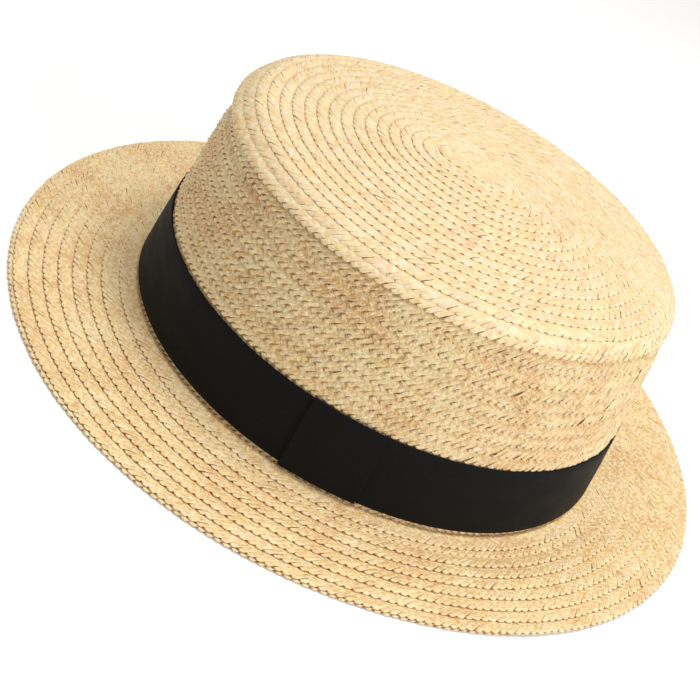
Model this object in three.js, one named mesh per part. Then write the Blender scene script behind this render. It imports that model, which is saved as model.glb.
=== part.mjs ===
// Straw boater hat, life size, standing on its brim.
// Millimetres, +Z up. The origin is the middle of the brim's underside; the
// wearer's face looks along -Y and the wearer's left ear is on +X.
// The plaited straw is a thin wall throughout, so the crown is an open shell.

import * as THREE from "three";

// ---- Driving dimensions ----------------------------------------------------

const STRAW_THICKNESS = 2.0; // two overlapped rounds of sewn plait
const GAP = 0.3; // clearance between neighbouring pieces
const STEPS_ROUND = 72; // facets round every oval

const BRIM = {
  halfLength: 141.9, // along Y
  halfWidth: 132.5, // along X
  edgeRadius: 0.6, // the outer round is folded, so its edge is soft
};

// How far the brim's outline departs from a true oval: amplitude * sin or cos
// of (order * angle), in millimetres.
const BRIM_OUTLINE = [
  { order: 2, sine: -2.9, cosine: 0.0 },
  { order: 4, sine: -0.5, cosine: 0.1 },
];

// The crown's outer wall is a leaning, tapering oval tube.
const CROWN = {
  foot: { halfLength: 98.3, halfWidth: 89.4, middleY: 1.0 }, // at floor level
  rim: { halfLength: 87.5, halfWidth: 78.7, middleY: 1.6 }, // at height
  height: 86.4, // floor to the level where the tip would start if it were flat
  shoulderRadius: 9.5, // between side wall and tip
  dome: 6.0, // rise of the tip's middle above its edge
};

const BAND = {
  bottom: 4.5, // height of the ribbon's lower edge
  top: 32.4, // height of the ribbon's upper edge
  thickness: 0.9,
};

// Flat wrapped piece of ribbon that hides the band's join, on the left side.
const TAB = {
  startDegrees: 0.5, // its folded edge, nearer the face
  endDegrees: 17.5, // its other edge, towards the back
  overhang: 0.7, // how far it stands past both edges of the band
  thickness: 1.0,
  steps: 10,
};

// ---- Section tables --------------------------------------------------------

// Rows up the side wall, from the foot to where the shoulder starts.
const WALL_ROWS = 5;
// Rows round the shoulder, and rings across the tip as shares of its radius.
const SHOULDER_ROWS = 6;
const TIP_RINGS = [0.86, 0.68, 0.48, 0.26, 0.1];

// ---- Geometry helpers ------------------------------------------------------

const radians = (degrees) => (degrees * Math.PI) / 180;
const mix = (a, b, t) => a + (b - a) * t;

// A ring of points round the crown: the wall's oval at height z, drawn in by
// inset and then scaled about its middle by share.
function crownRing(z, inset, share = 1, lift = 0) {
  const t = z / CROWN.height;
  const length = mix(CROWN.foot.halfLength, CROWN.rim.halfLength, t) - inset;
  const width = mix(CROWN.foot.halfWidth, CROWN.rim.halfWidth, t) - inset;
  const middleY = mix(CROWN.foot.middleY, CROWN.rim.middleY, t);
  return (angle) =>
    new THREE.Vector3(
      share * width * Math.cos(angle),
      middleY + share * length * Math.sin(angle),
      z + lift,
    );
}

// The brim's outline, drawn in by inset, at height z.
function brimRing(z, inset) {
  return (angle) => {
    const x = BRIM.halfWidth * Math.cos(angle);
    const y = BRIM.halfLength * Math.sin(angle);
    const wave = BRIM_OUTLINE.reduce(
      (sum, { order, sine, cosine }) =>
        sum + sine * Math.sin(order * angle) + cosine * Math.cos(order * angle),
      0,
    );
    const scale = 1 + (wave - inset) / Math.hypot(x, y);
    return new THREE.Vector3(x * scale, y * scale, z);
  };
}

// Closed skin over a list of rings. Rings run round the axis; the list either
// closes on itself (a tube of rings) or starts and ends on a single point.
function skin(rings, { start = null, end = null, angles = null } = {}) {
  const steps = STEPS_ROUND;
  const points = rings.map((ring) =>
    Array.from({ length: steps }, (_, i) => ring((2 * Math.PI * i) / steps)),
  );
  const positions = points.flat().flatMap((p) => [p.x, p.y, p.z]);
  const index = [];
  const at = (row, i) => row * steps + (i % steps);
  const rows = start ? rings.length - 1 : rings.length;
  for (let row = 0; row < rows; row++) {
    const next = (row + 1) % rings.length;
    for (let i = 0; i < steps; i++) {
      index.push(at(row, i), at(row, i + 1), at(next, i + 1));
      index.push(at(row, i), at(next, i + 1), at(next, i));
    }
  }
  if (start) {
    const first = positions.length / 3;
    positions.push(start.x, start.y, start.z, end.x, end.y, end.z);
    const last = rings.length - 1;
    for (let i = 0; i < steps; i++) {
      index.push(first, at(0, i + 1), at(0, i));
      index.push(first + 1, at(last, i), at(last, i + 1));
    }
  }
  return geometryOf(positions, index);
}

function geometryOf(positions, index) {
  const geometry = new THREE.BufferGeometry();
  geometry.setAttribute(
    "position",
    new THREE.Float32BufferAttribute(positions, 3),
  );
  geometry.setIndex(index);
  geometry.computeVertexNormals();
  return geometry;
}

// ---- Crown: side wall, shoulder and tip in one open shell -------------------

// Rings of the crown's face, offset inwards by depth, from the foot upwards.
function crownFace(depth) {
  const radius = CROWN.shoulderRadius - depth;
  const centre = CROWN.height - CROWN.shoulderRadius;
  const foot = STRAW_THICKNESS + GAP;
  const rows = [];
  for (let i = 0; i < WALL_ROWS; i++)
    rows.push(crownRing(mix(foot, centre, i / WALL_ROWS), depth));
  for (let i = 0; i <= SHOULDER_ROWS; i++) {
    const turn = (Math.PI / 2) * (i / SHOULDER_ROWS);
    rows.push(
      crownRing(
        centre + radius * Math.sin(turn),
        depth + radius * (1 - Math.cos(turn)),
      ),
    );
  }
  const edge = CROWN.height - depth;
  for (const share of TIP_RINGS)
    rows.push(
      crownRing(
        edge,
        CROWN.shoulderRadius,
        share,
        CROWN.dome * (1 - share * share),
      ),
    );
  return rows;
}

function crownPeak(depth) {
  return new THREE.Vector3(
    0,
    CROWN.rim.middleY,
    CROWN.height - depth + CROWN.dome,
  );
}

function makeCrown() {
  const outer = crownFace(0);
  const inner = crownFace(STRAW_THICKNESS);
  return skin([...inner.reverse(), ...outer], {
    start: crownPeak(STRAW_THICKNESS),
    end: crownPeak(0),
  });
}

// ---- Brim: a flat ring that the crown stands on -----------------------------

function makeBrim() {
  const r = BRIM.edgeRadius;
  const top = STRAW_THICKNESS;
  return skin([
    crownRing(0, STRAW_THICKNESS),
    brimRing(0, r),
    brimRing(r, 0),
    brimRing(top - r, 0),
    brimRing(top, r),
    (angle) => crownRing(0, STRAW_THICKNESS)(angle).setZ(top),
  ]);
}

// ---- Ribbon band ------------------------------------------------------------

function makeBand() {
  const near = -GAP;
  const far = -(GAP + BAND.thickness);
  return skin([
    crownRing(BAND.top, near),
    crownRing(BAND.bottom, near),
    crownRing(BAND.bottom, far),
    crownRing(mix(BAND.bottom, BAND.top, 0.5), far - 0.1),
    crownRing(BAND.top, far),
  ]);
}

// Curved plate over the band, closed at both ends.
function makeTab() {
  const near = -(2 * GAP + BAND.thickness + 0.1);
  const far = near - TAB.thickness;
  const low = BAND.bottom - TAB.overhang;
  const high = BAND.top + TAB.overhang;
  const corners = [
    crownRing(low, near),
    crownRing(low, far),
    crownRing(high, far),
    crownRing(high, near),
  ];
  const positions = [];
  const index = [];
  for (let s = 0; s <= TAB.steps; s++) {
    const angle = radians(mix(TAB.startDegrees, TAB.endDegrees, s / TAB.steps));
    for (const corner of corners) {
      const p = corner(angle);
      positions.push(p.x, p.y, p.z);
    }
  }
  const n = corners.length;
  for (let s = 0; s < TAB.steps; s++)
    for (let c = 0; c < n; c++) {
      const a = s * n + c;
      const b = s * n + ((c + 1) % n);
      index.push(a, b + n, b, a, a + n, b + n);
    }
  const end = TAB.steps * n;
  index.push(0, 1, 2, 0, 2, 3);
  index.push(end, end + 2, end + 1, end, end + 3, end + 2);
  return geometryOf(positions, index);
}

// ---- Assembly ---------------------------------------------------------------

const straw = { color: 0xd9bf8f, roughness: 0.7, metalness: 0 };
const ribbon = { color: 0x1b1a1d, roughness: 0.65, metalness: 0 };

const PIECES = [
  { name: "crown", make: makeCrown, finish: straw },
  { name: "brim", make: makeBrim, finish: straw },
  { name: "hat_band", make: makeBand, finish: ribbon },
  { name: "band_tab", make: makeTab, finish: ribbon },
];

const hat = new THREE.Group();
for (const { name, make, finish } of PIECES) {
  const mesh = new THREE.Mesh(make(), new THREE.MeshStandardMaterial(finish));
  mesh.name = name;
  hat.add(mesh);
}

export default hat;
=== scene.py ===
"""Looks of the sewn-straw boater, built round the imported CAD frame.

The crown and the brim are wound from one long five-strand straw plait, strand
by strand, as the real hat is: every visible straw facet is a small curved leaf
that dives under its neighbours, and every round overlaps the next like a
shingle. The ribbon and its wrapped tab are thin closed sheets of cloth.
Sizes in the tables are millimetres; meshes are made in metres.
"""

import math

import bpy
import numpy as np
from mathutils import Matrix, Vector


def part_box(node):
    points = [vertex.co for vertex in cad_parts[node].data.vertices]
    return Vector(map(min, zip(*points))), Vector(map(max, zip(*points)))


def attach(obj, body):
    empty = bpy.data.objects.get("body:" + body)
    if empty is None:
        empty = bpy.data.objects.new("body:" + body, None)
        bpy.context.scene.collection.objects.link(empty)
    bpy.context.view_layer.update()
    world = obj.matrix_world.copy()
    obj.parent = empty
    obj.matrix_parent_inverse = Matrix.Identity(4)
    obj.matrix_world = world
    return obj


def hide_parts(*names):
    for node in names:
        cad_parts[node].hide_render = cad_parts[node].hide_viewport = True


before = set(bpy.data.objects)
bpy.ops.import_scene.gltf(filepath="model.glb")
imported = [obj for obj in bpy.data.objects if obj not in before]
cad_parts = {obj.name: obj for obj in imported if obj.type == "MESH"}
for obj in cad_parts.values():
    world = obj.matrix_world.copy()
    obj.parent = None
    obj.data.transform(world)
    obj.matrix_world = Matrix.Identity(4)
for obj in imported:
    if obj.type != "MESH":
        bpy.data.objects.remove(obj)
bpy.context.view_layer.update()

MM = 0.001


# ---- Places from the frame ---------------------------------------------------

crown_low, crown_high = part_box("crown")
brim_low, brim_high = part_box("brim")
band_low, band_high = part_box("hat_band")
tab_low, tab_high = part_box("band_tab")

BRIM_TOP = brim_high.z / MM
BAND_BOTTOM = band_low.z / MM
BAND_TOP = band_high.z / MM

# The same section tables as the CAD: the crown's outer face and the brim's edge.
FOOT_L, FOOT_W, FOOT_Y = 98.3, 89.4, 1.0
RIM_L, RIM_W, RIM_Y = 87.5, 78.7, 1.6
HEIGHT = 86.4
SHOULDER_R = 9.5
DOME = crown_high.z / MM - HEIGHT
BRIM_L, BRIM_W = 141.9, 132.5
BRIM_WAVE = [(2, -2.9, 0.0), (4, -0.5, 0.1)]

TIP_M = RIM_W - SHOULDER_R  # distance from the tip's middle line to its edge
TIP_SLIT = (RIM_L - SHOULDER_R) - TIP_M  # half of the middle line's length
SHOULDER_M = TIP_M + SHOULDER_R * math.pi / 2
WALL_SLOPE = math.hypot(1, (FOOT_W - RIM_W) / HEIGHT)
WALL_TOP = HEIGHT - SHOULDER_R


# ---- The hat's smooth surface, which the plait is laid on ---------------------


def crown_point(m, th):
    """Point of the crown's outer face: m millimetres down from the tip's middle line."""
    c, s = np.cos(th), np.sin(th)
    # tip: rounds near the middle run straight beside the middle line and turn
    # sharply at its ends, and further out they grow into ovals
    mt = np.clip(m, 0, TIP_M)
    oval = np.clip(mt / 34, 0, 1)
    oval = oval * oval * (3 - 2 * oval)
    run = oval * s + (1 - oval) * np.tanh(2.0 * s) / math.tanh(2.0)
    xt = mt * c
    yt = mt * s + TIP_SLIT * run
    share = (xt / TIP_M) ** 2 + (yt / (TIP_M + TIP_SLIT)) ** 2
    share = np.minimum(share, 1.0)
    tip = np.stack(
        [xt, yt + RIM_Y, HEIGHT + DOME * (1 - share) * (1 - 0.42 * share)], -1
    )
    # shoulder and wall
    t = np.clip((m - TIP_M) / SHOULDER_R, 0, math.pi / 2)
    z = np.where(
        m < SHOULDER_M,
        WALL_TOP + SHOULDER_R * np.cos(t),
        WALL_TOP - (m - SHOULDER_M) / WALL_SLOPE,
    )
    inset = SHOULDER_R * (1 - np.sin(t))
    # the ribbon is drawn tight, so the straw gives a little under it
    press = np.clip((BAND_TOP - 0.3 - z) / 2.5, 0, 1)
    inset = inset + 0.4 * press * press * (3 - 2 * press)
    f = z / HEIGHT
    w = FOOT_W + (RIM_W - FOOT_W) * f - inset
    l = FOOT_L + (RIM_L - FOOT_L) * f - inset
    y0 = FOOT_Y + (RIM_Y - FOOT_Y) * f
    side = np.stack([w * c, y0 + l * s, z], -1)
    return np.where((m <= TIP_M)[..., None], tip, side)


def brim_outline(th, inset=0.0):
    x, y = BRIM_W * np.cos(th), BRIM_L * np.sin(th)
    wave = sum(a * np.sin(n * th) + b * np.cos(n * th) for n, a, b in BRIM_WAVE)
    k = 1 + (wave - inset) / np.hypot(x, y)
    return x * k, y * k


BRIM_WIDTH = 43.3  # mean distance from the crown's foot to the brim's edge


def brim_point(m, th):
    """Point of the brim's top: m millimetres out from the crown's foot."""
    f = m / BRIM_WIDTH
    bx, by = brim_outline(th)
    fx, fy = FOOT_W * np.cos(th), FOOT_Y + FOOT_L * np.sin(th)
    # the rounds nearest the crown turn up into its foot
    lift = 1.5 * np.exp(-np.maximum(m, 0) / 2.6)
    return np.stack(
        [fx + (bx - fx) * f, fy + (by - fy) * f, BRIM_TOP + lift + 0 * m], -1
    )


def normals(point, m, th):
    e = 0.05
    dm = point(m + e, th) - point(m - e, th)
    dt = point(m, th + 0.004) - point(m, th - 0.004)
    n = np.cross(dm, dt)
    length = np.linalg.norm(n, axis=-1, keepdims=True)
    n = np.where(length > 1e-9, n / np.maximum(length, 1e-9), [0.0, 0.0, 1.0])
    if point is crown_point:  # the crown's middle is too flat to need a slope
        n = np.where((m < 5)[..., None], [0.0, 0.0, 1.0], n)
    return n


# ---- The plait ----------------------------------------------------------------

PERIOD = 3.0  # distance between two teeth along the plait's edge
HALF = 1.25 * PERIOD  # half of the plait's width: five strands
SHIFT = 0.25 * PERIOD  # puts both edges through the middles of crossings


class Winding:
    """The plait's middle line, wound round the hat in a spiral."""

    def __init__(
        self, point, start, pitch, end, theta0, step, round_up, thickness, dip, ledge=None
    ):
        self.point, self.pitch, self.end = point, pitch, end
        self.start, self.theta0 = start, theta0
        self.step = step  # how far each round stands above the next one
        self.round_up = round_up  # how much a round bulges between its edges
        self.thickness = thickness
        self.dip = dip  # angle over which the first turn slips under its own start
        self.ledge = ledge  # extra height of some turns
        self.limit = end - HALF
        # the first turn and the last one keep to one oval, so both edges close
        turns = (self.limit - start) / pitch + 2.0
        th = np.arange(0, turns * 2 * math.pi, math.radians(0.2))
        m = self.middle(th)
        p = point(m, th + theta0)
        s = np.concatenate(
            [[0], np.cumsum(np.linalg.norm(np.diff(p, axis=0), axis=1))]
        )
        self.th, self.s = th, s
        self.periods = int(s[-1] // PERIOD)

    def free(self, th):
        return self.start + self.pitch * (th / (2 * math.pi) - 1)

    def middle(self, th):
        return np.clip(self.free(th), self.start, self.limit)

    def sink(self, th):
        """How far the plait lies under another turn at its two tucked ends."""
        last = np.clip((self.free(th) - self.limit) / self.pitch, 0, 1)
        full = 2 * math.pi
        # the first turn's end slides down just where its start rises, so neither
        # shows a cut edge
        slip = np.clip((th - full) / (2 * self.dip) + 0.5, 0, 1)
        rise = np.clip(th / self.dip, 0, 1)
        first = np.minimum(slip * slip * (3 - 2 * slip), np.clip(2 - th / full, 0, 1))
        first = first + 0.5 * (1 - rise * rise * (3 - 2 * rise))
        return (self.step + 0.1) * (last + first)

    def place(self, u, v, height):
        """World points of plait coordinates: u along, v across, height above it."""
        th = np.interp(u, self.s, self.th)
        m = self.middle(th) + v
        if self.point is crown_point:  # both sides of the first turn meet on the line
            m = np.maximum(m, 0.0)
        ang = th + self.theta0
        p = self.point(m, ang)
        n = normals(self.point, m, ang)
        share = (HALF - v) / self.pitch
        bulge = 4 * np.clip(share, 0, 1) * (1 - np.clip(share, 0, 1))
        depth = self.round_up * bulge - self.step * share - self.sink(th)
        depth = depth - self.round_up - 0.1
        if self.ledge is not None:
            depth = depth + self.ledge(self, th, share)
        return p + n * (depth + height)[..., None], m, ang


def strand_tones(rng, count):
    """One tone for each strand of the plait and each straw spliced into it."""
    return rng.random((5, count)), rng.random((5, count))


# One splint's visible run: it comes up in the middle of the plait, passes over
# two others and folds over the edge. Places along it run 0..1, across it 0..1.
ALONG = np.array([0.0, 0.09, 0.20, 0.42, 0.70, 0.87, 0.94, 1.0])
ALONG_Z = np.array([-0.45, -0.02, 0.11, 0.02, 0.07, 0.0, 0.0, 0.0])
ACROSS = np.array([-0.05, 0.16, 0.50, 0.84, 1.05])
ACROSS_Z = np.array([-0.20, 0.03, 0.0, 0.03, -0.20])
ACROSS_RIM = np.array([0.5, 1.0, 0.0, 1.0, 0.5])


def leaves(winding, first, last, seed, relief, notch):
    """Vertices and data of all splint runs between two periods of the winding."""
    rng = np.random.default_rng(seed)
    tones, tints = strand_tones(np.random.default_rng(901), 4000)
    A, B = np.meshgrid(ALONG, ACROSS, indexing="ij")
    out = []
    for family in (1, 0):
        K = np.arange(first, last)
        n = len(K)
        jit = rng.normal(0, 1, (n, 8))
        J3 = lambda i: jit[:, i, None, None]
        BB = 0.5 + (B[None] - 0.5) * (1 + 0.03 * J3(0)) + 0.03 * J3(1)
        BB = BB + 0.05 * J3(2) * (A[None] - 0.5)
        inner = 0.22 + 0.05 * J3(3)
        if family:  # runs out to the overlapping edge
            alpha = K[:, None, None] + BB
            beta = (K[:, None, None] + inner) * (1 - A[None]) + A[None] * (alpha - 3.45)
            strand = K % 5
            splice = (K + 97 * strand + 100000) // 46
            uc = (K - 1.0)[:, None, None] * PERIOD
        else:  # runs in to the covered edge
            beta = K[:, None, None] + BB
            alpha = (K[:, None, None] + 1 + inner) * (1 - A[None]) + A[None] * (
                beta - 2.45
            )
            strand = (K - 2) % 5
            splice = (K - 2 + 97 * strand + 100000) // 46
            uc = (K - 0.5)[:, None, None] * PERIOD
        u = (alpha + beta) * PERIOD / 2
        v = (alpha - beta) * PERIOD / 2 - SHIFT
        deep = relief(winding, uc)
        cut = notch(winding, uc)
        h = deep * (
            np.interp(A, ALONG, ALONG_Z)[None]
            + np.interp(B, ACROSS, ACROSS_Z)[None]
            + 0.05 * J3(4)
            + 0.16 * J3(5) * (B[None] - 0.5)
            + 0.05 * J3(6) * (A[None] - 0.5)
        )
        # the straw folds over the plait's edge and back under it
        side = 1 if family else -1
        vv = side * v
        q = np.clip((u - uc) / (PERIOD / 2), -1.15, 1.15)
        near = np.clip((vv - (HALF - 1.3)) / 1.3, 0, 1)
        inward = (cut * (q * q + 0.25 * q * side) + 0.06 * J3(7)) * near
        over = np.maximum(vv - HALF, 0)
        r = 0.40
        bend = np.minimum(over / r, math.pi / 2)
        h = h - r * (1 - np.cos(bend)) - np.maximum(over - r * math.pi / 2, 0) * 2.0
        vv = np.minimum(vv, HALF) + r * np.sin(bend) - 0.3 - inward
        v = side * vv
        crest = np.clip((h / np.maximum(deep, 0.2) + 0.27) / 0.27, 0, 1)
        # painted highlight on each tooth's top, and painted shade on its fold and in the gaps beside it
        gap = np.clip((np.abs(q) - 0.48) / 0.22, 0, 1)
        shade = np.clip(over / 0.3, 0, 1) * (0.35 + 0.65 * gap)
        shade = shade + np.clip(0.6 * deep - 0.35, 0, 0.7) * near**2 * gap
        crest = np.where(over > 0, 1.0, crest) * (1 - np.clip(shade, 0, 1))
        rim = np.broadcast_to(np.interp(B, ACROSS, ACROSS_RIM)[None], u.shape)
        rim = rim * np.clip(A[None] * 6, 0, 1) * 0.8
        # painted highlight: the top of each tooth near the edge counts as a rim
        rim = np.maximum(rim, near * np.clip(1.5 - 2 * np.abs(q), 0, 1))
        f = 0.6 * tones[strand, splice % 4000] + 0.4 * rng.random(n)
        g = 0.5 * tints[strand, splice % 4000] + 0.5 * rng.random(n)
        run = (A[None] * 3.2 + 7.3 * K[:, None, None]) * PERIOD * 0.707
        out.append((u, v, h, f, g, run, BB * PERIOD * 0.707, crest, rim))
    return [np.concatenate([o[i] for o in out]) for i in range(9)]


def plait_mesh(name, winding, first, last, seed, relief, notch, ripe, low=None):
    """One piece of the hat: facets and the flat backing below them."""
    u, v, h, tone, tint, along, across, crest, rim = leaves(
        winding, first, last, seed, relief, notch
    )
    na, nb = len(ALONG), len(ACROSS)
    u = np.clip(u, 0, winding.s[-1])
    count = len(tone)
    p, m, ang = winding.place(u, v, h)
    if low is not None:
        p[..., 2] = np.maximum(p[..., 2], low)
    verts = p.reshape(-1, 3)
    crest, rim = crest.reshape(-1), rim.reshape(-1)
    base = (np.arange(count) * na * nb)[:, None, None]
    i, j = np.meshgrid(np.arange(na - 1), np.arange(nb - 1), indexing="ij")
    q = base + (i * nb + j)[None]
    quads = np.stack([q, q + nb, q + nb + 1, q + 1], -1).reshape(-1, 4)
    # cells: each facet has its own little rectangle in the baking map
    side = int(math.ceil(math.sqrt(count * 1.25)))
    rows_used = int(math.ceil(count / side))
    cx = (np.arange(count) % side)[:, None, None]
    cy = (np.arange(count) // side)[:, None, None]
    ga = np.linspace(0.06, 0.94, na)[None, :, None]
    gb = np.linspace(0.06, 0.94, nb)[None, None, :]
    bake_u = np.broadcast_to((cx + ga) / side, (count, na, nb)).reshape(-1)
    bake_v = np.broadcast_to((cy + gb) / side, (count, na, nb)).reshape(-1)
    vt = np.broadcast_to(tone[:, None, None], (count, na, nb)).reshape(-1)
    vg = np.broadcast_to(tint[:, None, None], (count, na, nb)).reshape(-1)
    sx, sy = along.reshape(-1), across.reshape(-1)
    lattice_u, lattice_v = u.reshape(-1), v.reshape(-1)
    lay_m, lay_a = m.reshape(-1), ang.reshape(-1)

    # normals of the facets have to point outwards whichever family they are
    pv = verts[quads]
    nrm = np.cross(pv[:, 2] - pv[:, 0], pv[:, 3] - pv[:, 1])
    mid_u = u.reshape(-1)[quads].mean(1)
    mid_v = v.reshape(-1)[quads].mean(1)
    below, _, _ = winding.place(mid_u, mid_v, np.zeros(len(quads)))
    above, _, _ = winding.place(mid_u, mid_v, np.ones(len(quads)))
    flat = ((above - below) * nrm).sum(1)
    # one decision for each facet, by its middle quad
    per = flat.reshape(count, na - 1, nb - 1)
    middle = per[:, (na - 1) // 2, (nb - 1) // 2]
    flip = np.repeat(middle < 0, (na - 1) * (nb - 1))
    quads[flip] = quads[flip][:, ::-1]

    # the backing: a closed flat strip under the facets
    steps = np.arange(first * 2, last * 2 + 1) * (PERIOD / 2)
    steps = np.clip(steps, 0, winding.s[-1])
    ns = len(steps)
    lip = HALF - 0.55
    thick = winding.thickness
    corner_v = np.array([-lip, lip, lip, -lip])
    corner_h = np.array([-0.34, -0.34, -thick, -thick])
    U = np.broadcast_to(steps[:, None], (ns, 4))
    V = np.broadcast_to(corner_v[None], (ns, 4))
    Hh = np.broadcast_to(corner_h[None], (ns, 4))
    pb, mb, ab = winding.place(U, V, Hh)
    if low is not None:
        pb[..., 2] = np.maximum(pb[..., 2], low)
    start = len(verts)
    nb4 = start + np.arange(ns - 1)[:, None] * 4
    c = np.arange(4)[None]
    c2 = (np.arange(4) + 1)[None] % 4
    strip = np.stack([nb4 + c, nb4 + c2, nb4 + 4 + c2, nb4 + 4 + c], -1).reshape(-1, 4)
    caps = np.array(
        [
            [start, start + 3, start + 2, start + 1],
            [start + (ns - 1) * 4 + x for x in (0, 1, 2, 3)],
        ]
    )
    # outward faces: the strip's top has to face away from the hat
    bp = np.concatenate([verts, pb.reshape(-1, 3)])
    topq = strip.reshape(ns - 1, 4, 4)[:, 0]
    tn = np.cross(
        bp[topq[:, 2]] - bp[topq[:, 0]], bp[topq[:, 3]] - bp[topq[:, 1]]
    )
    up, _, _ = winding.place(steps[:-1], 0 * steps[:-1], 1.0 + 0 * steps[:-1])
    dn, _, _ = winding.place(steps[:-1], 0 * steps[:-1], 0 * steps[:-1])
    if ((up - dn) * tn).sum(1).mean() < 0:
        strip, caps = strip[:, ::-1], caps[:, ::-1]
    all_quads = np.concatenate([quads, strip, caps])
    all_verts = bp * MM

    left = max(1.0 - rows_used / side, 0.02)
    fold = 40
    bu = (np.arange(ns)[:, None] / max(ns - 1, 1)) * np.ones((1, 4))
    lanes = np.array([0.1, 0.35, 0.6, 0.85])[None] * np.ones((ns, 1))
    lane = np.minimum(np.floor(bu * fold), fold - 1)
    sheet_u = (bu * fold - lane) * 0.98 + 0.01
    sheet_v = rows_used / side + (lane + lanes) / fold * left * 0.98
    join = lambda x, y: np.concatenate([x, np.asarray(y, float).reshape(-1)])
    data = {
        "tone": join(vt, np.full((ns, 4), 0.35)),
        "tint": join(vg, np.full((ns, 4), 0.5)),
        "crest": join(crest, np.zeros((ns, 4))),
        "rim": join(rim, np.zeros((ns, 4))),
        "ripe": join(ripe(lay_m), ripe(mb)),
    }
    uv = {
        "Straw": (join(sx, U), join(sy, V)),
        "Lay": (join(lay_m, mb), join(lay_a, ab)),
        "Plait": (join(lattice_u, U), join(lattice_v, V)),
        "OFBake": (join(bake_u, sheet_u), join(bake_v, sheet_v)),
    }
    back = np.concatenate(
        [np.zeros(len(quads), bool), np.ones(len(strip) + 2, bool)]
    )
    return make_mesh(name, all_verts, all_quads, data, uv, smooth=~back, slots=back)


def make_mesh(name, verts, quads, data=None, uv=None, smooth=None, slots=None):
    me = bpy.data.meshes.new(name)
    me.vertices.add(len(verts))
    me.vertices.foreach_set("co", np.ascontiguousarray(verts, np.float32).ravel())
    me.loops.add(quads.size)
    me.loops.foreach_set("vertex_index", quads.astype(np.int32).ravel())
    me.polygons.add(len(quads))
    me.polygons.foreach_set(
        "loop_start", np.arange(0, quads.size, quads.shape[1], dtype=np.int32)
    )
    if smooth is not None:
        me.polygons.foreach_set("use_smooth", np.asarray(smooth, bool))
    if slots is not None:
        me.polygons.foreach_set("material_index", np.asarray(slots, np.int32))
    me.update(calc_edges=True)
    loops = quads.ravel()
    for key, values in (data or {}).items():
        layer = me.attributes.new(key, "FLOAT", "POINT")
        layer.data.foreach_set("value", np.ascontiguousarray(values, np.float32))
    for key, (x, y) in (uv or {}).items():
        layer = me.uv_layers.new(name=key)
        flat = np.stack([x[loops], y[loops]], -1).astype(np.float32).ravel()
        layer.data.foreach_set("uv", flat)
    if uv and "OFBake" in uv:
        me.uv_layers["OFBake"].active_render = True
    me.validate()
    ob = bpy.data.objects.new(name, me)
    bpy.context.scene.collection.objects.link(ob)
    return ob


# ---- Materials ------------------------------------------------------------------


def srgb(r, g, b):
    def lin(c):
        c = c / 255
        return c / 12.92 if c <= 0.04045 else ((c + 0.055) / 1.055) ** 2.4

    return (lin(r), lin(g), lin(b), 1.0)


class Nodes:
    """A short way to write a material's node tree."""

    def __init__(self, name):
        self.mat = bpy.data.materials.new(name)
        self.mat.use_nodes = True
        self.tree = self.mat.node_tree
        self.tree.nodes.clear()
        self.out = self.tree.nodes.new("ShaderNodeOutputMaterial")
        self.shader = self.tree.nodes.new("ShaderNodeBsdfPrincipled")
        self.link(self.shader.outputs[0], self.out.inputs["Surface"])

    def link(self, a, b):
        self.tree.links.new(a, b)

    def put(self, socket, value):
        if isinstance(value, bpy.types.NodeSocket):
            self.link(value, socket)
        else:
            socket.default_value = value

    def attr(self, name):
        n = self.tree.nodes.new("ShaderNodeAttribute")
        n.attribute_name = name
        return n.outputs["Fac"]

    def uv(self, name):
        n = self.tree.nodes.new("ShaderNodeUVMap")
        n.uv_map = name
        return n.outputs["UV"]

    def object_place(self):
        return self.tree.nodes.new("ShaderNodeTexCoord").outputs["Object"]

    def scale(self, vector, by):
        n = self.tree.nodes.new("ShaderNodeMapping")
        self.link(vector, n.inputs["Vector"])
        n.inputs["Scale"].default_value = by
        return n.outputs[0]

    def noise(self, vector, scale, detail=2.0, rough=0.5, dims="3D"):
        n = self.tree.nodes.new("ShaderNodeTexNoise")
        n.noise_dimensions = dims
        self.link(vector, n.inputs["Vector"])
        n.inputs["Scale"].default_value = scale
        n.inputs["Detail"].default_value = detail
        n.inputs["Roughness"].default_value = rough
        return n.outputs["Fac"]

    def math(self, op, a, b=0.0, clamp=False):
        n = self.tree.nodes.new("ShaderNodeMath")
        n.operation = op
        n.use_clamp = clamp
        self.put(n.inputs[0], a)
        self.put(n.inputs[1], b)
        return n.outputs[0]

    def spread(self, value, a, b, c=0.0, d=1.0):
        n = self.tree.nodes.new("ShaderNodeMapRange")
        self.put(n.inputs["Value"], value)
        for k, x in zip(("From Min", "From Max", "To Min", "To Max"), (a, b, c, d)):
            n.inputs[k].default_value = x
        return n.outputs[0]

    def ramp(self, value, stops):
        n = self.tree.nodes.new("ShaderNodeValToRGB")
        self.put(n.inputs[0], value)
        e = n.color_ramp.elements
        while len(e) < len(stops):
            e.new(0.5)
        for el, (pos, col) in zip(e, stops):
            el.position = pos
            el.color = col
        return n.outputs[0]

    def mix(self, fac, a, b, blend="MIX"):
        n = self.tree.nodes.new("ShaderNodeMix")
        n.data_type = "RGBA"
        n.blend_type = blend
        self.put(n.inputs[0], fac)
        self.put(n.inputs[6], a)
        self.put(n.inputs[7], b)
        return n.outputs[2]

    def bump(self, height, strength, distance, normal=None):
        n = self.tree.nodes.new("ShaderNodeBump")
        n.inputs["Strength"].default_value = strength
        n.inputs["Distance"].default_value = distance
        self.link(height, n.inputs["Height"])
        if normal is not None:
            self.link(normal, n.inputs["Normal"])
        return n.outputs[0]

    def split(self, vector):
        n = self.tree.nodes.new("ShaderNodeSeparateXYZ")
        self.link(vector, n.inputs[0])
        return n.outputs


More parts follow.
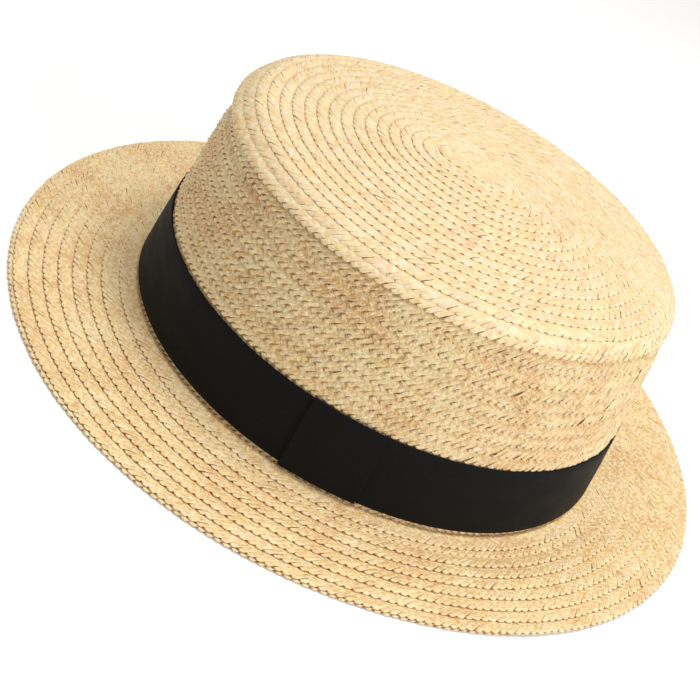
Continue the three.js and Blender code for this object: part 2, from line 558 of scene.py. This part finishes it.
def straw_material(name):
    """Split wheat straw: soft patches along the plait, and fibres along each splint."""
    n = Nodes(name)
    tone, tint, crest = n.attr("tone"), n.attr("tint"), n.attr("crest")
    ripe = n.attr("ripe")
    straw, plait = n.uv("Straw"), n.uv("Plait")
    place = n.object_place()
    broad = n.noise(n.scale(place, (1, 1, 1.5)), 44.0, 3.0, 0.6)
    patch = n.noise(n.scale(plait, (0.16, 0.30, 1.0)), 1.0, 2.0, 0.6, "2D")
    streak = n.noise(n.scale(straw, (0.25, 5.0, 1.0)), 1.0, 3.0, 0.6, "2D")
    own = n.math("MULTIPLY", n.spread(tone, 0.0, 1.0, -0.15, 0.15), n.spread(ripe, 0.0, 1.0, 0.9, 1.8))
    value = n.math("ADD", own, n.spread(ripe, 0.0, 1.0, 0.62, 0.58))
    wide = n.spread(ripe, 0.0, 1.0, 0.6, 1.6)
    value = n.math(
        "ADD", value, n.math("MULTIPLY", wide, n.spread(broad, 0.3, 0.7, -0.11, 0.11))
    )
    value = n.math(
        "ADD", value, n.math("MULTIPLY", wide, n.spread(patch, 0.3, 0.7, -0.16, 0.16))
    )
    value = n.math("ADD", value, n.spread(streak, 0.3, 0.7, -0.06, 0.06), True)
    colour = n.ramp(
        value,
        [
            (0.0, srgb(168, 118, 62)),
            (0.28, srgb(207, 162, 101)),
            (0.52, srgb(230, 195, 139)),
            (0.78, srgb(243, 219, 174)),
            (1.0, srgb(252, 240, 216)),
        ],
    )
    # some straws lean to pink, to yellow or to a greyer green
    hue = n.noise(n.scale(plait, (0.11, 0.22, 7.0)), 1.0, 1.0, 0.5, "2D")
    hue = n.math("ADD", hue, n.spread(tint, 0.0, 1.0, -0.15, 0.15))
    colour = n.mix(n.spread(hue, 0.58, 0.70, 0.0, 0.36), colour, srgb(247, 213, 186))
    colour = n.mix(n.spread(hue, 0.44, 0.34, 0.0, 0.40), colour, srgb(240, 214, 142))
    grey = n.noise(n.scale(plait, (0.13, 0.3, 1.0)), 1.7, 1.0, 0.5, "2D")
    colour = n.mix(n.spread(grey, 0.53, 0.66, 0.0, 0.50), colour, srgb(226, 220, 180))
    # broad places of the wall and brim are browner or greyer
    colour = n.mix(
        n.math("MULTIPLY", ripe, n.spread(broad, 0.50, 0.38, 0.0, 0.62)), colour, srgb(220, 162, 96)
    )
    colour = n.mix(
        n.math("MULTIPLY", ripe, n.spread(broad, 0.54, 0.64, 0.0, 0.60)), colour, srgb(238, 222, 184)
    )
    # small pale and brown flecks, where straws are split or bruised
    fleck = n.noise(n.scale(plait, (0.55, 0.8, 1.0)), 1.0, 2.0, 0.6, "2D")
    strong = n.spread(ripe, 0.0, 0.6, 0.55, 1.1)
    colour = n.mix(
        n.math("MULTIPLY", strong, n.spread(fleck, 0.54, 0.66, 0.0, 0.65)), colour, srgb(255, 243, 218)
    )
    colour = n.mix(
        n.math("MULTIPLY", strong, n.spread(fleck, 0.45, 0.33, 0.0, 0.50)), colour, srgb(206, 158, 98)
    )
    # painted shade: the deep ends, the folds and the gaps between teeth are multiplied darker brown
    deep = n.math("MULTIPLY", n.spread(crest, 0.0, 0.6, 1.0, 0.0), n.spread(ripe, 0.0, 0.6, 0.85, 1.0))
    colour = n.mix(deep, colour, srgb(158, 108, 54), "MULTIPLY")
    # painted highlight: paler colour where a splint's rim or a fold at the edge stands up
    light = n.math("MULTIPLY", n.attr("rim"), n.spread(ripe, 0.0, 1.0, 0.25, 0.78))
    light = n.math("MULTIPLY", light, n.spread(crest, 0.2, 0.7))
    colour = n.mix(light, colour, srgb(253, 240, 212))
    # the wall and the brim are more golden than the tip
    gold = n.math("MINIMUM", ripe, 0.55)
    colour = n.mix(gold, colour, srgb(255, 242, 203), "MULTIPLY")
    n.link(colour, n.shader.inputs["Base Color"])
    rough = n.spread(streak, 0.3, 0.7, 0.45, 0.6)
    n.link(rough, n.shader.inputs["Roughness"])
    fine = n.noise(n.scale(straw, (0.5, 9.0, 1.0)), 1.0, 2.0, 0.5, "2D")
    height = n.math("ADD", n.math("MULTIPLY", fine, 0.5), streak)
    lumps = n.math("MULTIPLY", ripe, n.noise(n.scale(plait, (0.75, 0.75, 1.0)), 1.0, 1.0, 0.5, "2D"))
    lumpy = n.bump(lumps, 0.8, 0.0009)
    n.link(n.bump(height, 0.5, 0.00012, lumpy), n.shader.inputs["Normal"])
    n.shader.inputs["Specular IOR Level"].default_value = 0.42
    return n.mat


def backing_material(name, low, high):
    """The plait's own underside: the same lattice of splints, seen from behind."""
    n = Nodes(name)
    uv = n.scale(n.uv("Plait"), (1 / PERIOD, 1 / PERIOD, 1.0))
    out = n.split(uv)
    su, sv = out[0], n.math("ADD", out[1], 0.25)
    al = n.math("ADD", su, sv)
    be = n.math("SUBTRACT", su, sv)
    fa, fb = n.math("FRACT", al), n.math("FRACT", be)
    ia, ib = n.math("FLOOR", al), n.math("FLOOR", be)
    odd = n.math("MODULO", n.math("ABSOLUTE", n.math("ADD", ia, ib)), 2.0)
    across = n.math(
        "ADD",
        n.math("MULTIPLY", fa, n.math("SUBTRACT", 1.0, odd)),
        n.math("MULTIPLY", fb, odd),
    )
    edge = n.math("MULTIPLY", across, n.math("SUBTRACT", 1.0, across))
    crest = n.spread(edge, 0.0, 0.14)
    cell = n.tree.nodes.new("ShaderNodeCombineXYZ")
    n.link(ia, cell.inputs[0])
    n.link(ib, cell.inputs[1])
    white = n.tree.nodes.new("ShaderNodeTexWhiteNoise")
    white.noise_dimensions = "2D"
    n.link(cell.outputs[0], white.inputs["Vector"])
    streak = n.noise(n.scale(n.uv("Plait"), (3.0, 3.0, 1.0)), 1.0, 3.0, 0.6, "2D")
    value = n.math("ADD", n.math("MULTIPLY", white.outputs[0], 0.55), 0.15)
    value = n.math("ADD", value, n.spread(streak, 0.3, 0.7, -0.1, 0.15), True)
    colour = n.ramp(value, [(0.0, srgb(*low)), (1.0, srgb(*high))])
    colour = n.mix(
        n.spread(crest, 0.0, 0.7, 0.6, 0.0), colour, srgb(140, 98, 56), "MULTIPLY"
    )
    n.link(colour, n.shader.inputs["Base Color"])
    n.shader.inputs["Roughness"].default_value = 0.6
    n.link(n.bump(crest, 0.8, 0.0003), n.shader.inputs["Normal"])
    return n.mat


def ribbon_material(name):
    """Black grosgrain: fine ribs across the ribbon, and a dense woven face."""
    n = Nodes(name)
    uv = n.uv("Ribbon")
    out = n.split(uv)
    rib = n.math("SINE", n.math("MULTIPLY", out[0], 2 * math.pi / 0.75))
    rib = n.spread(rib, -1.0, 1.0)
    thread = n.math("SINE", n.math("MULTIPLY", out[1], 2 * math.pi / 0.42))
    thread = n.spread(thread, -1.0, 1.0)
    weave = n.math("ADD", n.math("MULTIPLY", rib, 0.8), n.math("MULTIPLY", thread, 0.2))
    wear = n.noise(n.scale(uv, (0.05, 0.12, 1.0)), 1.0, 3.0, 0.55, "2D")
    value = n.math("ADD", n.math("MULTIPLY", weave, 0.35), n.math("MULTIPLY", wear, 0.8))
    colour = n.ramp(
        value,
        [
            (0.15, (0.0025, 0.0024, 0.0026, 1)),
            (0.55, (0.0045, 0.0043, 0.0047, 1)),
            (1.0, (0.0085, 0.0080, 0.0085, 1)),
        ],
    )
    n.link(colour, n.shader.inputs["Base Color"])
    n.link(n.spread(wear, 0.3, 0.7, 0.62, 0.78), n.shader.inputs["Roughness"])
    n.link(n.bump(weave, 0.35, 0.00010), n.shader.inputs["Normal"])
    n.shader.inputs["Specular IOR Level"].default_value = 0.12
    n.shader.inputs["Sheen Weight"].default_value = 0.02
    n.shader.inputs["Sheen Roughness"].default_value = 0.4
    return n.mat


# ---- Crown and brim --------------------------------------------------------------

LEDGE_M = 82.6  # where the tip's last round ends, overhanging the wall
WALL_PITCH = 4.9


def toward_front_left(ang):
    turn = (ang - math.radians(318) + math.pi) % (2 * math.pi) - math.pi
    return np.exp(-((turn / 0.65) ** 2))


def tip_ledge(winding, th, share):
    """The tip's last round stands proud, most of all over the front and left."""
    turns = (winding.limit - winding.start) / winding.pitch + 2.0
    up = np.interp(th / (2 * math.pi) - turns, [-2.6, -1.5, -0.9, 0.0], [0, 0.2, 1.25, 1.25])
    size = 0.30 + 0.70 * toward_front_left(th + winding.theta0)
    return size * up * np.clip(1.3 - share, 0, 1)


def wall_ledge(winding, th, share):
    """The wall's first rounds sit back under the tip's edge."""
    down = np.interp(th / (2 * math.pi), [0.0, 1.0, 3.5], [0.75, 0.7, 0.0])
    return -down * (0.7 + 0.5 * toward_front_left(th + winding.theta0))


tip_winding = Winding(
    crown_point,
    start=2.9,
    pitch=4.4,
    end=LEDGE_M,
    theta0=math.radians(156),
    step=0.50,
    round_up=0.16,
    thickness=0.85,
    dip=0.6,
    ledge=tip_ledge,
)
wall_winding = Winding(
    crown_point,
    start=LEDGE_M + WALL_PITCH - HALF,
    pitch=WALL_PITCH,
    end=SHOULDER_M + (WALL_TOP - 1.2) * WALL_SLOPE,
    theta0=math.radians(200),
    step=1.0,
    round_up=0.36,
    thickness=1.1,
    dip=0.14,
    ledge=wall_ledge,
)
brim_winding = Winding(
    brim_point,
    start=1.9,
    pitch=5.0,
    end=BRIM_WIDTH,
    theta0=math.radians(215),
    step=0.80,
    round_up=0.16,
    thickness=0.75,
    dip=0.14,
)


def crown_ripe(m):
    """0 on the pale tip, 1 on the browner wall."""
    return np.clip((m - LEDGE_M + 4) / 8, 0, 1)


def brim_ripe(m):
    return np.full(np.shape(m), 0.62)


def crown_relief(winding, u):
    m = winding.middle(np.interp(u, winding.s, winding.th))
    return 0.22 + 0.20 * np.clip((m - 8) / 30, 0, 1) + 0.4 * np.clip((m - 70) / 8, 0, 1) + 1.6 * crown_ripe(m)


def brim_relief(winding, u):
    return np.full(np.shape(u), 0.62)


def crown_notch(winding, u):
    m = winding.middle(np.interp(u, winding.s, winding.th))
    return 0.12 + 0.20 * np.clip((m - 4) / 12, 0, 1) + 0.20 * np.clip((m - 70) / 8, 0, 1) + 0.45 * crown_ripe(m)


def brim_notch(winding, u):
    return np.full(np.shape(u), 0.36)


straw = straw_material("straw_face")
backing = backing_material("straw_back", (176, 132, 80), (232, 200, 148))


def period_at(winding, middle):
    """The number of the period where the winding's middle line reaches that place."""
    th = ((middle - winding.start) / winding.pitch + 1) * 2 * math.pi
    return int(np.interp(th, winding.th, winding.s) / PERIOD)


cut_tip = period_at(tip_winding, 54.0)
cut_upper = period_at(wall_winding, SHOULDER_M + 20.0)
cut_lower = period_at(wall_winding, SHOULDER_M + 46.0)
cut_brim = period_at(brim_winding, 22.0)

PIECES = [
    ("straw_tip_inner", tip_winding, 0, cut_tip, 11),
    ("straw_tip_outer", tip_winding, cut_tip, tip_winding.periods, 16),
    ("straw_wall_upper", wall_winding, 0, cut_upper, 12),
    ("straw_wall_middle", wall_winding, cut_upper, cut_lower, 17),
    ("straw_wall_lower", wall_winding, cut_lower, wall_winding.periods, 13),
    ("straw_brim_inner", brim_winding, 0, cut_brim, 14),
    ("straw_brim_outer", brim_winding, cut_brim, brim_winding.periods, 15),
]
for name, winding, first, last, seed in PIECES:
    brim = winding is brim_winding
    piece = plait_mesh(
        name,
        winding,
        first,
        last,
        seed,
        brim_relief if brim else crown_relief,
        brim_notch if brim else crown_notch,
        brim_ripe if brim else crown_ripe,
        low=0.02 if brim else None,
    )
    piece.data.materials.append(straw)
    piece.data.materials.append(backing)
    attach(piece, "root")
    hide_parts("brim" if brim else "crown")
    print("PIECE", name, len(piece.data.polygons) * 2)


def tip_core():
    """The plait's folded start, a small closed plate under the tip's middle line."""
    side = np.radians(np.linspace(-84, 84, 15))
    rings = []
    for ang in (side, math.pi - side):
        p = crown_point(np.full(len(side), 3.4), ang)
        rings.append(p)
    k = len(side)
    verts = np.concatenate(
        [r - [0.0, 0.0, drop] for drop in (1.25, 1.75) for r in rings]
    )
    tr, tl, br, bl = (np.arange(k) + i * k for i in range(4))
    quads = []
    for i in range(k - 1):
        quads.append([tr[i], tr[i + 1], tl[i + 1], tl[i]])
        quads.append([br[i], bl[i], bl[i + 1], br[i + 1]])
        quads.append([tr[i], br[i], br[i + 1], tr[i + 1]])
        quads.append([tl[i], tl[i + 1], bl[i + 1], bl[i]])
    quads.append([tr[0], tl[0], bl[0], br[0]])
    quads.append([tr[-1], br[-1], bl[-1], tl[-1]])
    quads = np.array(quads)
    flat = (verts[:, 0], verts[:, 1])
    low, high = verts.min(0), verts.max(0)
    unit = [(verts[:, i] - low[i]) / (high[i] - low[i]) for i in (0, 1)]
    lift = np.where(np.arange(len(verts)) < 2 * k, 0.5, 0.0)
    bake = (0.02 + 0.96 * unit[0], 0.01 + 0.48 * unit[1] + lift)
    uv = {"Straw": flat, "Lay": flat, "Plait": flat, "OFBake": bake}
    full = np.ones(len(verts))
    data = {"tone": 0.4 * full, "tint": 0.5 * full, "crest": full, "rim": 0 * full, "ripe": 0 * full}
    return make_mesh("straw_tip_core", verts * MM, quads, data, uv)


core = tip_core()
core.data.materials.append(straw)
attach(core, "root")
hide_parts("crown")


# ---- Ribbon and tab -----------------------------------------------------------------


def wall_ring(z, out, th):
    f = z / HEIGHT
    w = FOOT_W + (RIM_W - FOOT_W) * f + out
    l = FOOT_L + (RIM_L - FOOT_L) * f + out
    return np.stack(
        [w * np.cos(th), FOOT_Y + (RIM_Y - FOOT_Y) * f + l * np.sin(th), z + 0 * th],
        -1,
    )


def ribbon_sheet(name, angles, profile, closed):
    """A closed sheet of cloth: profile(angle) gives rows of (z, out) round its section."""
    sections = []
    for th in angles:
        zs, outs = profile(th)
        sections.append(wall_ring(np.array(zs), np.array(outs), np.full(len(zs), th)))
    grid = np.array(sections)
    n, k = grid.shape[:2]
    verts = grid.reshape(-1, 3)
    loops = n if closed else n - 1
    i, j = np.meshgrid(np.arange(loops), np.arange(k), indexing="ij")
    a, b = i * k + j, i * k + (j + 1) % k
    c, d = ((i + 1) % n) * k + (j + 1) % k, ((i + 1) % n) * k + j
    quads = np.stack([a, b, c, d], -1).reshape(-1, 4)
    run = np.concatenate(
        [[0], np.cumsum(np.linalg.norm(np.diff(grid[:, 0], axis=0), axis=1))]
    )
    rise = np.concatenate(
        [[0], np.cumsum(np.linalg.norm(np.diff(grid[0], axis=0), axis=1))]
    )
    return verts, quads, run, rise, n, k


def rounded_section(z0, z1, near, far, edge, rows):
    """Section of a thin ribbon, counter-clockwise: outer face up, inner face down."""
    zs, outs = [], []
    for t in np.linspace(0, 1, rows):
        zs.append(z0 + edge + (z1 - z0 - 2 * edge) * t)
        outs.append(far)
    zs += [z1 - edge * 0.3, z1, z1 - edge * 0.3]
    outs += [far - edge * 0.3, (near + far) / 2, near + edge * 0.3]
    for t in np.linspace(1, 0, 5):
        zs.append(z0 + edge + (z1 - z0 - 2 * edge) * t)
        outs.append(near)
    zs += [z0 + edge * 0.3, z0, z0 + edge * 0.3]
    outs += [near + edge * 0.3, (near + far) / 2, far - edge * 0.3]
    return np.array(zs), np.array(outs)


black = ribbon_material("ribbon_black")


def ripple(th, seed, size, count=7):
    """A slow seeded wave round the hat."""
    rng = np.random.default_rng(seed)
    amp, ph = rng.normal(0, 1, count), rng.random(count) * 2 * math.pi
    return size * sum(
        a * math.sin((i + 2) * th + p) / (i + 2) for i, (a, p) in enumerate(zip(amp, ph))
    )


def band_profile(th):
    z0 = BAND_BOTTOM + ripple(th, 5, 0.10)
    z1 = BAND_TOP + ripple(th, 6, 0.12)
    zs, outs = rounded_section(z0, z1, -0.25, 0.30, 0.3, 12)
    # the cloth bellies a little between its edges, with slack places round the hat
    t = np.clip((zs - z0) / (z1 - z0), 0, 1)
    belly = (0.14 + ripple(th, 7, 0.08)) * np.sin(math.pi * t)
    selvedge = 0.07 * (np.exp(-(((t - 0.03) / 0.02) ** 2)) + np.exp(-(((t - 0.97) / 0.02) ** 2)))
    face = outs > 0.1
    return zs, outs + np.where(face, belly + selvedge, belly * 0.4)


def add_sheet(name, angles, profile, closed, node, caps=False):
    verts, quads, run, rise, n, k = ribbon_sheet(name, angles, profile, closed)
    faces = [list(q) for q in quads]
    ru = np.repeat(run, k)
    rv = np.tile(rise, n)
    me = bpy.data.meshes.new(name)
    if caps:
        faces.append([i for i in range(k)][::-1])
        faces.append([(n - 1) * k + i for i in range(k)])
    me.from_pydata((verts * MM).tolist(), [], [[int(x) for x in f] for f in faces])
    layer = me.uv_layers.new(name="Ribbon")
    bake = me.uv_layers.new(name="OFBake")
    total_u, total_v = run[-1] * (n / (n - 1) if closed else 1), rise[-1]
    lanes = 14 if closed else 1
    for poly in me.polygons:
        wrap = closed and poly.index < len(quads) and poly.index >= (n - 1) * k
        wrap_v = poly.index < len(quads) and poly.index % k == k - 1
        for li, vi in zip(poly.loop_indices, poly.vertices):
            x, y = ru[vi], rv[vi]
            if wrap and vi < k:
                x = total_u
            if wrap_v and vi % k == 0:
                y = total_v + 0.5
            layer.data[li].uv = (x, y)
            if closed:
                lane = min(int((poly.index // k) / n * lanes), lanes - 1)
                lx = x / total_u * lanes - lane
                bake.data[li].uv = (
                    0.01 + 0.98 * lx,
                    (lane + 0.02 + 0.96 * y / (total_v + 0.6)) / lanes,
                )
            else:
                bake.data[li].uv = (
                    0.02 + 0.9 * x / total_u,
                    0.02 + 0.96 * y / (total_v + 0.6),
                )
    for poly in me.polygons:
        poly.use_smooth = poly.index < len(quads)
    me.uv_layers["OFBake"].active_render = True
    me.validate()
    me.update()
    ob = bpy.data.objects.new(name, me)
    bpy.context.scene.collection.objects.link(ob)
    me.materials.append(black)
    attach(ob, "root")
    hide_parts(node)
    return ob


band = add_sheet(
    "ribbon_band",
    np.linspace(0, 2 * math.pi, 288, endpoint=False),
    band_profile,
    True,
    "hat_band",
)

TAB_START, TAB_END = math.radians(0.5), math.radians(17.5)


def tab_profile(th):
    t = (th - TAB_START) / (TAB_END - TAB_START)
    z0, z1 = BAND_BOTTOM - 0.75, BAND_TOP + 0.7
    z0 += 0.25 * t
    z1 -= 0.2 * t
    # the folded edge stands proud, the other lies flat
    lift = 0.40 * math.exp(-((t / 0.10) ** 2)) + 0.12 * math.exp(-(((1 - t) / 0.08) ** 2))
    near, far = 0.55, 1.10
    zs, outs = rounded_section(z0, z1, near, far + lift, 0.42, 12)
    u = np.clip((zs - z0) / (z1 - z0), 0, 1)
    face = outs > near + 0.3
    # the top and bottom folds bend towards the straw
    bend = 0.5 * (np.exp(-((u / 0.06) ** 2)) + np.exp(-(((1 - u) / 0.06) ** 2)))
    wave = 0.14 * np.sin(math.pi * u) + 0.10 * math.sin(3.1 * t + 0.6)
    outs = outs + np.where(face, wave - bend * 0.55, -bend * 0.9)
    # round the cut and folded ends
    end = min(t, 1 - t) * 29.0
    pinch = 1 - math.sqrt(max(0.0, 1 - max(0.0, 1 - end / 0.35) ** 2))
    mid = (near + far + lift) / 2
    return zs, outs + (mid - outs) * 0.75 * pinch


tab_steps = np.concatenate(
    [
        np.linspace(0, 0.03, 6)[:-1],
        np.linspace(0.03, 0.97, 26),
        np.linspace(0.97, 1, 6)[1:],
    ]
)
tab = add_sheet(
    "ribbon_tab",
    TAB_START + (TAB_END - TAB_START) * tab_steps,
    tab_profile,
    False,
    "band_tab",
    caps=True,
)


# ---- Camera ---------------------------------------------------------------------------

AZIMUTH, ELEVATION, ROLL = 97.48, 34.17, 28.88
DISTANCE = 0.4441
TARGET = Vector((0.06243, 0.00147, 0.040))
az, el, roll = (math.radians(x) for x in (AZIMUTH, ELEVATION, ROLL))
back = Vector((math.sin(az) * math.cos(el), -math.cos(az) * math.cos(el), math.sin(el)))
right = (-back).cross(Vector((0, 0, 1))).normalized()
up = right.cross(-back).normalized()
right, up = (
    right * math.cos(roll) + up * math.sin(roll),
    up * math.cos(roll) - right * math.sin(roll),
)
cam_data = bpy.data.cameras.new("camera")
cam_data.sensor_width = 36.0
cam_data.lens = 1318.91 / 700 * 36.0
cam_data.clip_start = 0.02
cam = bpy.data.objects.new("camera", cam_data)
place = Matrix((right, up, back)).transposed().to_4x4()
place.translation = TARGET + back * DISTANCE
cam.matrix_world = place
bpy.context.scene.collection.objects.link(cam)
bpy.context.scene.camera = cam


# ---- Floor and light --------------------------------------------------------------------

floor_mesh = bpy.data.meshes.new("floor")
size = 3.0
floor_mesh.from_pydata(
    [(-size, -size, 0), (size, -size, 0), (size, size, 0), (-size, size, 0)],
    [],
    [(0, 1, 2, 3)],
)
floor = bpy.data.objects.new("floor", floor_mesh)
floor.location.z = -0.0002
bpy.context.scene.collection.objects.link(floor)
fm = Nodes("floor_paper")
fm.shader.inputs["Base Color"].default_value = (0.93, 0.925, 0.92, 1)
fm.shader.inputs["Roughness"].default_value = 0.9
fm.shader.inputs["Emission Color"].default_value = (1.0, 0.99, 0.98, 1)
fm.shader.inputs["Emission Strength"].default_value = 0.15
floor_mesh.materials.append(fm.mat)


def area_light(name, where, aim, size, power, colour=(1, 1, 1)):
    data = bpy.data.lights.new(name, "AREA")
    data.shape = "DISK"
    data.size = size
    data.energy = power
    data.color = colour
    ob = bpy.data.objects.new(name, data)
    ob.location = where
    d = Vector(aim) - Vector(where)
    ob.rotation_euler = d.to_track_quat("-Z", "Y").to_euler()
    bpy.context.scene.collection.objects.link(ob)
    return ob


centre = (0, 0, 0.05)


def from_screen(x, y, z, far):
    """A place seen from the camera: x to its right, y up, z towards it."""
    d = right * x + up * y + back * z
    return tuple(Vector(centre) + d.normalized() * far)


area_light("key", from_screen(0.57, 0.64, 0.50, 1.1), centre, 0.40, 5.3, (1.0, 0.985, 0.97))
area_light("fill", from_screen(0.85, -0.35, 0.8, 1.3), centre, 0.6, 6.7, (1.0, 0.985, 0.97))
area_light("top", (-0.10, -0.15, 1.3), centre, 0.6, 3.9, (1.0, 0.99, 0.98))
world = bpy.data.worlds.new("studio")
world.use_nodes = True
bg = world.node_tree.nodes["Background"]
bg.inputs[0].default_value = (1.0, 0.99, 0.98, 1)
bg.inputs[1].default_value = 0.40
bpy.context.scene.world = world
bpy.context.scene.view_settings.view_transform = "Standard"
bpy.context.scene.view_settings.look = "None"
